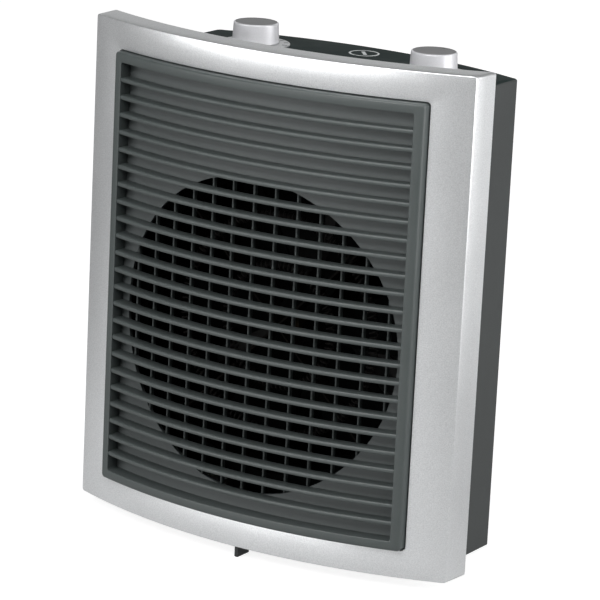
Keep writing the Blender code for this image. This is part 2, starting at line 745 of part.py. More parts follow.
def motor(mats):
    centre = (0, 0, OUTLET_Z)
    shaft_front = IMPELLER_Y - 13.5 * MM
    shaft = disc(SHAFT_RADIUS, shaft_front, MOTOR_BACK + 7 * MM, centre, "Y", 16)
    piece("motor_shaft", shaft, mats["steel"], origin=(0, IMPELLER_Y, OUTLET_Z))
    nut_low = IMPELLER_Y - 12.5 * MM
    nut_high = nut_low + 3 * MM
    nut_bore = SHAFT_RADIUS + 0.05 * MM
    hub = (0, IMPELLER_Y, OUTLET_Z)
    hex_nut("impeller_nut", nut_bore, 8 * MM, nut_low, nut_high, centre, "Y", mats["brass"], hub)
    hole = 3.4 * MM
    profile = [
        (hole, MOTOR_FRONT + 3 * MM),
        (MOTOR_RADIUS - 4 * MM, MOTOR_FRONT + 3 * MM),
        (MOTOR_RADIUS, MOTOR_FRONT + 7 * MM),
        (MOTOR_RADIUS, MOTOR_BACK - 4 * MM),
        (MOTOR_RADIUS - 4 * MM, MOTOR_BACK),
        (hole, MOTOR_BACK),
    ]
    piece("motor_body", turned(profile, centre, "Y", 28), mats["steel"])
    bearings = {
        "motor_bearing_front": (MOTOR_FRONT - 1.2 * MM, MOTOR_FRONT + 2.7 * MM),
        "motor_bearing_rear": (MOTOR_BACK + 0.3 * MM, MOTOR_BACK + 4.2 * MM),
    }
    for name, (low, high) in bearings.items():
        bush = ring(SHAFT_RADIUS + 0.15 * MM, 6 * MM, low, high, centre, "Y", 20)
        piece(name, bush, mats["brass"])


def motor_bracket(mats):
    """A three-armed spider that carries the motor on the duct's lugs."""
    plate_front = MOTOR_FRONT - 1.4 * MM
    plate_back = MOTOR_FRONT + 0.8 * MM
    base = ring(6.4 * MM, MOTOR_RADIUS - 3 * MM, plate_front, plate_back, (0, 0, OUTLET_Z), "Y", 24)
    arms, holes = [], []
    seat = DUCT_BACK + FIT_GAP
    for degrees, x, z in lug_centres():
        arm_low = (12 * MM, plate_front + 0.2 * MM, -4 * MM)
        arm = block(arm_low, (94 * MM, plate_back - 0.2 * MM, 4 * MM))
        turn = Matrix.Translation((0, 0, OUTLET_Z)) @ Matrix.Rotation(-math.radians(degrees), 4, "Y")
        bmesh.ops.transform(arm, matrix=turn, verts=arm.verts)
        arms.append(arm)
        arms.append(level_cylinder(4.6 * MM, x, z, seat, plate_back - 0.6 * MM, 16))
        holes.append(level_cylinder(1.7 * MM, x, z, seat - 2 * MM, plate_back + 4 * MM, 12))
    piece("motor_bracket", base, mats["steel"], adds=[merged(*arms)], cuts=[merged(*holes)])
    for number, (_, x, z) in enumerate(lug_centres(), 1):
        place = facing_back(x, plate_back + FIT_GAP, z)
        screw(f"bracket_screw_{number}", place, mats, length=15 * MM)


# ---------------------------------------------------------------- tip-over switch and cord entry


def tip_switch(mats):
    half = PADDLE_THICK / 2
    low, top = PADDLE_TIP, 19 * MM
    blade_mesh = block((-half, PADDLE_FRONT, low), (half, PADDLE_BACK, top))
    head_low = (-3 * MM, PADDLE_FRONT + 2 * MM, top - 3 * MM)
    head = block(head_low, (3 * MM, PADDLE_BACK - 1 * MM, top + 0.5 * MM))
    foot = (0, PADDLE_FRONT, low)
    piece("tip_switch_paddle", blade_mesh, mats["black"], origin=foot, adds=[head])
    base = BEZEL_FOOT + WALL + FIT_GAP
    body_low = (4 * MM, PADDLE_FRONT + 1.5 * MM, base)
    body = block(body_low, (17 * MM, PADDLE_BACK - 0.5 * MM, base + 9.5 * MM))
    piece("tip_switch_body", body, mats["black"])


def cord_entry(mats):
    collar = GLAND_SLEEVE + 2.4 * MM
    seat = GLAND_PAD_Y + FIT_GAP
    profile = [
        (GLAND_BORE, seat - 10.4 * MM),
        (GLAND_SLEEVE, seat - 10.4 * MM),
        (GLAND_SLEEVE, seat),
        (collar, seat),
        (collar, seat + 1.6 * MM),
        (GLAND_SLEEVE, seat + 3.4 * MM),
        (GLAND_BORE, seat + 3.4 * MM),
    ]
    piece("cord_gland", turned(profile, (GLAND_X, 0, GLAND_Z), "Y", 24), mats["black"])
    floor = BOX_BOTTOM + WALL + FIT_GAP
    x, y = CLAMP_X, CLAMP_Y
    clamp = block((x - 12 * MM, y - 4 * MM, floor), (x + 12 * MM, y + 4 * MM, floor + 4 * MM))
    groove = level_cylinder(3.4 * MM, x, floor, y - 8 * MM, y + 8 * MM, 14)
    holes = []
    for side in (-8 * MM, 8 * MM):
        holes.append(upright_cylinder(1.6 * MM, x + side, y, floor - 2 * MM, floor + 8 * MM, 10))
    piece("cord_clamp", clamp, mats["nylon"], cuts=[groove, merged(*holes)])
    for number, side in enumerate((-8 * MM, 8 * MM), 1):
        place = Matrix.Translation((x + side, y, floor + 4 * MM + FIT_GAP))
        screw(f"clamp_screw_{number}", place, mats, head=2.8 * MM, length=3.9 * MM)
    y = TERMINAL_Y
    low, high = (x - 15 * MM, y - 8 * MM, floor), (x + 15 * MM, y + 8 * MM, floor + 12 * MM)
    wells = []
    for step in (-10 * MM, 0, 10 * MM):
        wells.append(upright_cylinder(2.4 * MM, x + step, y, floor + 6 * MM, floor + 16 * MM, 10))
    piece("terminal_block", block(low, high), mats["nylon"], cuts=wells)


def build():
    clear_scene()
    mats = make_materials()
    front_bezel(mats)
    front_grille(mats)
    baffle_panel(mats)
    rear_housing(mats)
    intake_filter(mats)
    feet(mats)
    housing_screws(mats)
    control("thermostat", -KNOB_X, mats, 26 * MM)
    control("selector", KNOB_X, mats, 30 * MM)
    element_support(mats)
    coil("heating_coil_inner", COIL_INNER_RADIUS, mats)
    coil("heating_coil_outer", COIL_OUTER_RADIUS, mats)
    thermal_cutout(mats)
    air_duct(mats)
    fan_impeller(mats)
    motor(mats)
    motor_bracket(mats)
    tip_switch(mats)
    cord_entry(mats)


build()
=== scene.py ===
"""Fan convector heater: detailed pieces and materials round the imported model.

Metres, +Z up, X to the viewer's right, the front faces -Y. The origin is on the floor. Lengths are
written in millimetres times MM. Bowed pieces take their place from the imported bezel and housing.
"""

import json
import math

import bmesh
import bpy
from mathutils import Matrix, Vector


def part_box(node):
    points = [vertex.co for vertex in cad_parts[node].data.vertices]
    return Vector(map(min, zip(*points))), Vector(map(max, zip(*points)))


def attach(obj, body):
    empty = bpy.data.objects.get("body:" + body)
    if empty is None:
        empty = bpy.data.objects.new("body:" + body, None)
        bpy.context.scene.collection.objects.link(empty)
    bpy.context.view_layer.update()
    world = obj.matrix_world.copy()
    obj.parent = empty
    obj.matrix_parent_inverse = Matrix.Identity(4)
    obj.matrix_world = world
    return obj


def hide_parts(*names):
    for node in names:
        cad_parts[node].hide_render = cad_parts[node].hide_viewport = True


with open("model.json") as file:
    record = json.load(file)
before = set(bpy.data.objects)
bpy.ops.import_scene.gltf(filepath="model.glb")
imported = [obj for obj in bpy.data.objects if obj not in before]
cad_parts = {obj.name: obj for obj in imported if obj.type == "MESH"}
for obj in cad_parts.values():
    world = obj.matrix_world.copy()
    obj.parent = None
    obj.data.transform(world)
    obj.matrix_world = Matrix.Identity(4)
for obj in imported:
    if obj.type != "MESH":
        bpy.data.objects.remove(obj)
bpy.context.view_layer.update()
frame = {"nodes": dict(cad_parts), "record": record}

MM = 0.001
BODY = "heater_body"

# ---------------------------------------------------------------- places, from the frame

BEZEL_LOW, BEZEL_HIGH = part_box("front_bezel")
GRILLE_LOW, GRILLE_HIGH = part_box("front_grille")
PANEL_LOW, PANEL_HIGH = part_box("baffle_panel")
HOUSING_LOW, HOUSING_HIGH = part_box("rear_housing")
DUCT_LOW, DUCT_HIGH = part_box("air_duct")
PADDLE_LOW, PADDLE_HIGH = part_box("tip_switch_paddle")

# The front's bow, about an upright axis behind it.
SAGITTA = 24.8 * MM
FLARE = 1.2 * MM
BEZEL_HALF = BEZEL_HIGH.x - FLARE
CHORD_Y = BEZEL_LOW.y + SAGITTA
BEZEL_DEPTH = BEZEL_HIGH.y - CHORD_Y
BOW_RADIUS = (BEZEL_HALF**2 + SAGITTA**2) / (2 * SAGITTA)
BOW_STEPS = 72

# The grille, measured by its depth behind the bezel's front face.
FLANGE = 3.0 * MM
GRILLE_HALF = GRILLE_HIGH.x - FLANGE
GRILLE_BOTTOM = GRILLE_LOW.z + FLANGE
GRILLE_TOP = GRILLE_HIGH.z - FLANGE
GRILLE_PROUD = BEZEL_LOW.y - GRILLE_LOW.y
GRILLE_BORDER = 5.4 * MM
GRILLE_BACK = 4.4 * MM
GRILLE_GAP = 0.6 * MM
SLAT_COUNT = 23
SLAT_PITCH = 9.85 * MM
SLAT_THICK = 2.5 * MM
SLAT_FRONT = -4.3 * MM
SLAT_BACK = 4.4 * MM
PANEL_FRONT = 4.7 * MM
PANEL_BACK = 7.1 * MM
RIB_PITCH = 13.75 * MM
RIB_THICK = 1.3 * MM
RIB_FRONT = 5.0 * MM
RIB_BACK = 7.7 * MM
OUTLET_RADIUS = 88.9 * MM
OUTLET_Z = (DUCT_LOW.z + DUCT_HIGH.z) / 2

# The box behind.
WALL = 2.4 * MM
FLANGE_HALF = HOUSING_HIGH.x
BOX_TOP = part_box("thermostat_dial")[0].z - 0.3 * MM
BOX_HALF = 99.8 * MM
BACK_SAGITTA = 19.8 * MM
BACK_RADIUS = (BOX_HALF**2 + BACK_SAGITTA**2) / (2 * BACK_SAGITTA)
BOX_SIDE_Y = HOUSING_HIGH.y - BACK_SAGITTA
BOX_CORNER = 4.0 * MM
FLANGE_FRONT = 15.0 * MM
FLANGE_INSET = 3.2 * MM

# Knobs: how far the inlaid cap stands above the shell's top.
KNOB_CAP_PROUD = 0.12 * MM

# Printed marks.
PRINT_THICK = 0.05 * MM


def bow(x):
    """Y of the bezel's front face at x."""
    return CHORD_Y - (math.sqrt(BOW_RADIUS**2 - x**2) - (BOW_RADIUS - SAGITTA))


def back_bow(x):
    """Y of the box's outer back at x."""
    return BOX_SIDE_Y + math.sqrt(BACK_RADIUS**2 - x**2) - (BACK_RADIUS - BACK_SAGITTA)


# ---------------------------------------------------------------- materials


def new_material(name):
    """A material, its node tree and its shader."""
    made = bpy.data.materials.new(name)
    made.use_nodes = True
    tree = made.node_tree
    return made, tree, tree.nodes["Principled BSDF"]


def noise_node(tree, scale, detail=3.0, roughness=0.5, stretch=(1, 1, 1)):
    """Noise in the object's own metres, optionally stretched along an axis."""
    place = tree.nodes.new("ShaderNodeTexCoord")
    mapping = tree.nodes.new("ShaderNodeMapping")
    mapping.inputs["Scale"].default_value = stretch
    texture = tree.nodes.new("ShaderNodeTexNoise")
    texture.inputs["Scale"].default_value = scale
    texture.inputs["Detail"].default_value = detail
    texture.inputs["Roughness"].default_value = roughness
    tree.links.new(place.outputs["Object"], mapping.inputs["Vector"])
    tree.links.new(mapping.outputs["Vector"], texture.inputs["Vector"])
    return texture.outputs["Fac"]


def spread_to(tree, fac, low, high, start=0.3, end=0.7):
    """Maps a noise value from start..end to low..high."""
    ramp = tree.nodes.new("ShaderNodeMapRange")
    ramp.inputs["From Min"].default_value = start
    ramp.inputs["From Max"].default_value = end
    ramp.inputs["To Min"].default_value = low
    ramp.inputs["To Max"].default_value = high
    tree.links.new(fac, ramp.inputs["Value"])
    return ramp.outputs["Result"]


def two_tones(tree, fac, first, second):
    """A colour between two, chosen by fac."""
    mix = tree.nodes.new("ShaderNodeMix")
    mix.data_type = "RGBA"
    mix.inputs[6].default_value = (*first, 1)
    mix.inputs[7].default_value = (*second, 1)
    tree.links.new(fac, mix.inputs[0])
    return mix.outputs[2]


def bump_from(tree, shader, fac, distance):
    bump = tree.nodes.new("ShaderNodeBump")
    bump.inputs["Distance"].default_value = distance
    tree.links.new(fac, bump.inputs["Height"])
    tree.links.new(bump.outputs["Normal"], shader.inputs["Normal"])


def surface(name, tones, rough, metallic=0.0, grain=900.0, bump=0.0, specular=0.5, cloud=35.0,
            stretch=(1, 1, 1)):
    """A surface whose colour runs between two tones with a fine grain, with matching gloss and bump."""
    made, tree, shader = new_material(name)
    fine = noise_node(tree, grain, 2.0, 0.6, stretch)
    broad = noise_node(tree, cloud, 3.0, 0.5)
    both = tree.nodes.new("ShaderNodeMath")
    both.operation = "MULTIPLY_ADD"
    both.inputs[1].default_value = 0.35
    tree.links.new(broad, both.inputs[0])
    tree.links.new(spread_to(tree, fine, 0.0, 0.65), both.inputs[2])
    tree.links.new(two_tones(tree, both.outputs[0], *tones), shader.inputs["Base Color"])
    tree.links.new(spread_to(tree, broad, *rough), shader.inputs["Roughness"])
    shader.inputs["Metallic"].default_value = metallic
    shader.inputs["Specular IOR Level"].default_value = specular
    if bump:
        bump_from(tree, shader, fine, bump)
    return made


def make_materials():
    return {
        "silver": surface(
            "silver_paint", ((0.58, 0.59, 0.60), (0.86, 0.87, 0.88)), (0.30, 0.325),
            metallic=0.76, grain=1900.0, bump=0.00003, cloud=22.0),
        "knob": surface(
            "knob_silver", ((0.52, 0.52, 0.54), (0.60, 0.60, 0.62)), (0.34, 0.40),
            metallic=0.15, grain=1600.0, bump=0.000004),
        # A darker tone for the disc on each knob's top.
        "knob_cap": surface(
            "knob_cap_darker_tone", ((0.24, 0.24, 0.245), (0.32, 0.32, 0.325)), (0.4, 0.5),
            metallic=0.6, grain=1200.0, bump=0.000006, stretch=(1, 5, 1)),
        "charcoal": surface(
            "charcoal_plastic", ((0.045, 0.054, 0.053), (0.059, 0.069, 0.068)), (0.40, 0.5),
            grain=2600.0, bump=0.000012),
        # Painted light: a lighter copy of the charcoal plastic for the panel behind the slats, standing in
        # for light that the slats keep from it.
        "panel": surface(
            "panel_painted_light_plastic", ((0.070, 0.080, 0.080), (0.088, 0.098, 0.098)), (0.45, 0.55),
            grain=2600.0, bump=0.000012),
        "housing": surface(
            "housing_plastic", ((0.037, 0.040, 0.040), (0.050, 0.053, 0.053)), (0.5, 0.6),
            grain=2600.0, bump=0.000014, specular=0.25),
        # Painted shade: a darker, less glossy copy of the housing plastic for the box's top faces, which
        # get little light from above.
        "housing_top": surface(
            "housing_top_painted_shade_plastic", ((0.013, 0.021, 0.020), (0.019, 0.028, 0.027)), (0.5, 0.6),
            grain=2600.0, bump=0.000014, specular=0.04),
        # Painted shade: a near-black copy of the plastic, with no gloss, for the inside of the box and the
        # black parts within it, which stand in shade.
        "inside": surface(
            "painted_shade_inside_plastic", ((0.0022, 0.0026, 0.0026), (0.0042, 0.0047, 0.0047)), (0.8, 0.95),
            grain=1800.0, bump=0.00001, specular=0.0),
        "net": surface(
            "filter_net", ((0.005, 0.006, 0.006), (0.010, 0.011, 0.011)), (0.6, 0.7),
            grain=900.0, bump=0.00001, specular=0.1),
        "black": surface(
            "black_plastic", ((0.018, 0.021, 0.021), (0.028, 0.031, 0.031)), (0.38, 0.5),
            grain=2200.0, bump=0.00001),
        "steel": surface(
            "zinc_steel", ((0.42, 0.42, 0.40), (0.58, 0.57, 0.54)), (0.28, 0.42),
            metallic=1.0, grain=700.0, bump=0.000004),
        # Painted shade: near-black tones for the zinc steel, brass, mica board and resistance wire inside
        # the box, for the shade they stand in.
        "painted_shade_steel": surface(
            "painted_shade_steel", ((0.010, 0.010, 0.010), (0.02, 0.02, 0.019)), (0.55, 0.7),
            metallic=0.3, specular=0.2, grain=700.0, bump=0.000008),
        "painted_shade_brass": surface(
            "painted_shade_brass", ((0.02, 0.016, 0.009), (0.035, 0.027, 0.014)), (0.5, 0.65),
            metallic=0.4, specular=0.2, grain=500.0, bump=0.000004),
        "mica": surface(
            "mica_board", ((0.006, 0.0056, 0.005), (0.011, 0.010, 0.009)), (0.6, 0.75),
            grain=350.0, bump=0.00002, specular=0.0, stretch=(1, 4, 1)),
        "wire": surface(
            "resistance_wire", ((0.008, 0.0075, 0.007), (0.016, 0.0145, 0.0135)), (0.55, 0.7),
            metallic=0.3, specular=0.2, grain=900.0),
        "rubber": surface(
            "foot_rubber", ((0.012, 0.012, 0.012), (0.024, 0.024, 0.024)), (0.7, 0.9),
            grain=1200.0, bump=0.00003),
        "nylon": surface(
            "white_nylon", ((0.55, 0.54, 0.5), (0.68, 0.67, 0.62)), (0.4, 0.55),
            grain=800.0, bump=0.00001),
        "white_ink": surface(
            "white_ink", ((0.44, 0.46, 0.46), (0.60, 0.62, 0.62)), (0.5, 0.6), grain=3000.0),
        "dark_ink": surface(
            "dark_ink", ((0.02, 0.02, 0.022), (0.05, 0.05, 0.052)), (0.5, 0.6), grain=3000.0),
    }


# ---------------------------------------------------------------- mesh helpers


def spread(low, high, count):
    """count + 1 evenly spaced values."""
    return [low + (high - low) * step / count for step in range(count + 1)]


def arc(centre, radius, start, end, steps):
    """Points on an arc in a plane, angles in degrees."""
    return [
        (centre[0] + radius * math.cos(math.radians(a)), centre[1] + radius * math.sin(math.radians(a)))
        for a in spread(start, end, steps)
    ]


def tube_of_rings(rings, loop=False):
    """A mesh whose rings, each a list of points, are joined one after the other."""
    mesh = bmesh.new()
    made = [[mesh.verts.new(point) for point in ring] for ring in rings]
    pairs = list(zip(made, made[1:]))
    if loop:
        pairs.append((made[-1], made[0]))
    else:
        mesh.faces.new(made[0])
        mesh.faces.new(made[-1])
    for first, second in pairs:
        size = len(first)
        for at in range(size):
            after = (at + 1) % size
            mesh.faces.new((first[at], first[after], second[after], second[at]))
    bmesh.ops.recalc_face_normals(mesh, faces=mesh.faces)
    return mesh


def turned(profile, centre=(0, 0, 0), axis="Z", segments=96):
    """Turns a closed profile of (radius, height) points about an axis through centre."""
    mesh = bmesh.new()
    columns = []
    for radius, height in profile:
        if radius < 1e-7:
            columns.append([mesh.verts.new((0, 0, height))] * segments)
            continue
        turn = [2 * math.pi * step / segments for step in range(segments)]
        columns.append([mesh.verts.new((radius * math.cos(a), radius * math.sin(a), height)) for a in turn])
    for first, second in zip(columns, columns[1:] + columns[:1]):
        for at in range(segments):
            after = (at + 1) % segments
            kept = list(dict.fromkeys([first[at], first[after], second[after], second[at]]))
            if len(kept) > 2:
                mesh.faces.new(kept)
    bmesh.ops.recalc_face_normals(mesh, faces=mesh.faces)
    tip = {"Z": Matrix(), "Y": Matrix.Rotation(math.radians(-90), 4, "X")}[axis]
    bmesh.ops.transform(mesh, matrix=Matrix.Translation(centre) @ tip, verts=mesh.verts)
    return mesh


def block(low, high, bevel=0.0, steps=2):
    """A box, its edges rounded."""
    mesh = bmesh.new()
    bmesh.ops.create_cube(mesh, size=1.0)
    size = [b - a for a, b in zip(low, high)]
    bmesh.ops.scale(mesh, vec=size, verts=mesh.verts)
    bmesh.ops.translate(mesh, vec=[(a + b) / 2 for a, b in zip(low, high)], verts=mesh.verts)
    if bevel:
        bmesh.ops.bevel(mesh, geom=mesh.edges[:], offset=bevel, segments=steps, profile=0.5, affect="EDGES")
    return mesh


def prism(outline, low, high):
    """An outline in X and Y, raised from low to high."""
    return tube_of_rings([[(x, y, z) for x, y in outline] for z in (low, high)])


def merged(*meshes):
    """Several closed meshes in one bmesh."""
    whole = bmesh.new()
    for mesh in meshes:
        held = bpy.data.meshes.new("held")
        mesh.to_mesh(held)
        mesh.free()
        whole.from_mesh(held)
        bpy.data.meshes.remove(held)
    return whole


def mesh_object(name, mesh):
    data = bpy.data.meshes.new(name)
    mesh.to_mesh(data)
    mesh.free()
    made = bpy.data.objects.new(name, data)
    bpy.context.scene.collection.objects.link(made)
    return made


def boolean(target, mesh, operation):
    """Applies a Boolean with a throw-away operand."""
    helper = mesh_object("helper", mesh)
    step = target.modifiers.new("boolean", "BOOLEAN")
    step.operation = operation
    step.solver = "EXACT"
    step.use_self = operation == "UNION"
    step.object = helper
    graph = bpy.context.evaluated_depsgraph_get()
    result = bpy.data.meshes.new_from_object(target.evaluated_get(graph))
    target.modifiers.clear()
    old = target.data
    target.data = result
    bpy.data.meshes.remove(old)
    bpy.data.objects.remove(helper)


def piece(name, mesh, mat, replaces=(), body=BODY, adds=(), cuts=(), smooth=35):
    """A shown piece: a mesh, what is joined to it and cut from it, its finish and the body it rides on."""
    made = mesh_object(name, mesh)
    for part in adds:
        boolean(made, part, "UNION")
    for part in cuts:
        boolean(made, part, "DIFFERENCE")
    made.data.materials.clear()
    made.data.materials.append(mat)
    made.data.shade_smooth()
    made.data.set_sharp_from_angle(angle=math.radians(smooth))
    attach(made, body)
    if replaces:
        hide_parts(*replaces)
    return made


# ---------------------------------------------------------------- bowed rectangles


def bowed_loop(half, low, high, radius, depth, corner_steps=6):
    """A rounded rectangle in X and Z, laid on the bow at a depth behind it; always the same count."""
    reach = half - radius
    inner_low, inner_high = low + radius, high - radius
    outline = [(x, low) for x in spread(-reach, reach, BOW_STEPS)]
    outline += arc((reach, inner_low), radius, -90, 0, corner_steps)[1:]
    outline += arc((reach, inner_high), radius, 0, 90, corner_steps)
    outline += [(x, high) for x in spread(reach, -reach, BOW_STEPS)][1:]
    outline += arc((-reach, inner_high), radius, 90, 180, corner_steps)[1:]
    outline += arc((-reach, inner_low), radius, 180, 270, corner_steps)[:-1]
    return [(x, bow(x) + depth, z) for x, z in outline]


def front_bezel(mats):
    low, high = BEZEL_LOW.z, BEZEL_HIGH.z
    half = BEZEL_HALF
    window = GRILLE_HALF + GRILLE_GAP
    window_low, window_high = GRILLE_BOTTOM - GRILLE_GAP, GRILLE_TOP + GRILLE_GAP
    corner, window_corner, edge, window_edge = 1.6 * MM, 2.2 * MM, 0.5 * MM, 0.35 * MM
    loops = []

    def outer(inset, depth, flare=0.0):
        side = half - inset + flare
        loops.append(bowed_loop(side, low + inset, high - inset, max(corner - inset, 0.3 * MM), depth))

    def inner(inset, depth):
        side = window + inset
        loops.append(bowed_loop(side, window_low - inset, window_high + inset, window_corner, depth))

    outer(WALL, WALL)
    outer(WALL, BEZEL_DEPTH, FLARE)
    outer(0.3 * MM, BEZEL_DEPTH, FLARE)
    outer(0, BEZEL_DEPTH - 0.3 * MM, FLARE)
    outer(0, BEZEL_DEPTH / 2, FLARE / 2)
    for step in spread(0, math.pi / 2, 4):
        outer(edge * (1 - math.cos(step)), edge * (1 - math.sin(step)))
    for step in spread(math.pi / 2, 0, 3):
        inner(window_edge * (1 - math.cos(step)), window_edge * (1 - math.sin(step)))
    inner(0, WALL)
    mesh = tube_of_rings(loops, loop=True)
    x_low, y_high = 1.5 * MM, PADDLE_HIGH.y + 0.3 * MM
    slot = block((-x_low, PADDLE_LOW.y - 0.4 * MM, low - 2 * MM), (x_low, y_high, low + WALL + 2 * MM))
    piece("bezel_moulding", mesh, mats["silver"], ["front_bezel"], cuts=[slot])


def slat(z, half):
    """One slat: a shallow rounded nose, flat above and below, its back edges eased."""
    thick = SLAT_THICK / 2
    nose = 0.7 * MM
    section = []
    for angle in spread(-math.pi / 2, math.pi / 2, 8):
        section.append((SLAT_FRONT + nose * (1 - math.cos(angle)), z + thick * math.sin(angle)))
    ease = 0.3 * MM
    section += [(SLAT_BACK - ease, z + thick - ease), (SLAT_BACK, z + thick - 2 * ease)]
    section += [(SLAT_BACK, z - thick + 2 * ease), (SLAT_BACK - ease, z - thick + ease)]
    stations = spread(-half, half, BOW_STEPS)
    return tube_of_rings([[(x, bow(x) + depth, height) for depth, height in section] for x in stations])


def front_grille(mats):
    half, low, high = GRILLE_HALF, GRILLE_BOTTOM, GRILLE_TOP
    front = -GRILLE_PROUD
    corner, edge, inner_edge = 2.0 * MM, 1.3 * MM, 0.5 * MM
    inner_corner = 1.2 * MM
    lip_front = WALL + 0.3 * MM
    loops = []

    def outer(inset, depth, radius=corner):
        loops.append(bowed_loop(half - inset, low + inset, high - inset, radius, depth))

    outer(-FLANGE, GRILLE_BACK)
    outer(-FLANGE, lip_front)
    outer(0, lip_front)
    for step in spread(0, math.pi / 2, 5):
        outer(edge * (1 - math.cos(step)), front + edge * (1 - math.sin(step)))
    border = GRILLE_BORDER
    for step in spread(math.pi / 2, 0, 3):
        inset = border - inner_edge * (1 - math.cos(step))
        outer(inset, front + inner_edge * (1 - math.sin(step)), inner_corner)
    outer(border, GRILLE_BACK, inner_corner)
    frame_part = tube_of_rings(loops, loop=True)
    middle = (low + high) / 2
    slats = [
        slat(middle + (number - (SLAT_COUNT - 1) / 2) * SLAT_PITCH, half - border + 0.5 * MM)
        for number in range(SLAT_COUNT)
    ]
    whole = merged(frame_part, *slats)
    piece("grille_moulding", whole, mats["charcoal"], ["front_grille"], smooth=40)


def rib(x):
    """One upright guard rib, its front rounded."""
    half = RIB_THICK / 2
    tall = math.sqrt(OUTLET_RADIUS**2 - x**2) + 1.2 * MM
    near, far = bow(x) + RIB_FRONT, bow(x) + RIB_BACK
    outline = arc((x, near + half), half, 180, 360, 6)
    outline += [(x + half, far), (x - half, far)]
    return prism(outline, OUTLET_Z - tall, OUTLET_Z + tall)


def baffle_panel(mats):
    half, low, high = PANEL_HIGH.x, PANEL_LOW.z, PANEL_HIGH.z
    along = spread(-half, half, BOW_STEPS)
    outline = [(x, bow(x) + PANEL_FRONT) for x in along]
    outline += [(x, bow(x) + PANEL_BACK) for x in reversed(along)]
    hole = turned(
        [(0, BEZEL_LOW.y - 0.005), (OUTLET_RADIUS, BEZEL_LOW.y - 0.005), (OUTLET_RADIUS, CHORD_Y + 0.02),
         (0, CHORD_Y + 0.02)], (0, 0, OUTLET_Z), "Y", 160)
    # The panel gets the painted-light copy of the charcoal plastic.
    piece("panel_moulding", prism(outline, low, high), mats["panel"], ["baffle_panel"],
          cuts=[hole])
    reach = int(OUTLET_RADIUS / RIB_PITCH)
    ribs = [rib(number * RIB_PITCH) for number in range(-reach, reach + 1)]
    piece("outlet_ribs", merged(*ribs), mats["charcoal"])


# ---------------------------------------------------------------- rear housing


def box_outline(inset, front):
    """The box's plan: front edge parallel to the bezel, straight sides, rounded corners, bowed back."""
    half = BOX_HALF - inset
    corner = max(BOX_CORNER - inset, 1.5 * MM)
    outline = [(x, bow(x) + front) for x in spread(-half, half, BOW_STEPS)]
    reach = half - corner
    rear = back_bow(reach) - inset
    right = []
    for angle in spread(math.pi / 2, 0, 8):
        right.append((reach + corner * math.sin(angle), rear - corner * (1 - math.cos(angle))))
    outline += right
    outline += [(x, back_bow(x) - inset) for x in spread(reach, -reach, BOW_STEPS)[1:-1]]
    outline += [(-x, y) for x, y in reversed(right)]
    return outline


def eased_prism(outline_at, low, high, radius, steps=4):
    """A prism whose top edge is rounded: outline_at(inset) gives the outline at each level."""
    rings = [[(x, y, low) for x, y in outline_at(0)]]
    for angle in spread(0, math.pi / 2, steps):
        z = high - radius * (1 - math.sin(angle))
        rings.append([(x, y, z) for x, y in outline_at(radius * (1 - math.cos(angle)))])
    return tube_of_rings(rings)


def box_level(inset):
    """The box's outer plan drawn in by a small inset on its sides and back, its front kept."""
    return box_outline(inset, FLANGE_FRONT)


def stadium(near, far, low, high, front, back, steps=6):
    """A level slot with round ends, cut from front to back."""
    radius = (high - low) / 2
    middle = (low + high) / 2
    left, right = sorted((near, far))
    outline = arc((right - radius, middle), radius, -90, 90, steps)
    outline += arc((left + radius, middle), radius, 90, 270, steps)
    return tube_of_rings([[(x, y, z) for x, z in outline] for y in (front, back)])


def intake_slots():
    """Rows of level slots in two columns, within a circle about the fan."""
    rows, pitch, tall, radius, bridge = 12, 11.6 * MM, 4.4 * MM, 76.0 * MM, 5.0 * MM
    front = BOX_SIDE_Y - 2.6 * MM
    slots = []
    for row in range(rows):
        rise = (row - (rows - 1) / 2) * pitch
        reach = math.sqrt(radius**2 - rise**2)
        low, high = OUTLET_Z + rise - tall / 2, OUTLET_Z + rise + tall / 2
        for side in (-1, 1):
            slots.append(stadium(side * bridge, side * reach, low, high, front, front + 30 * MM))
    return merged(*slots)


def bowed_plate(half, low, high, front, back):
    along = spread(-half, half, BOW_STEPS)
    outline = [(x, bow(x) + front) for x in along]
    outline += [(x, bow(x) + back) for x in reversed(along)]
    return prism(outline, low, high)


def level_cylinder(radius, x, z, front, back, segments=32):
    return turned([(0, front), (radius, front), (radius, back), (0, back)], (x, 0, z), "Y", segments)


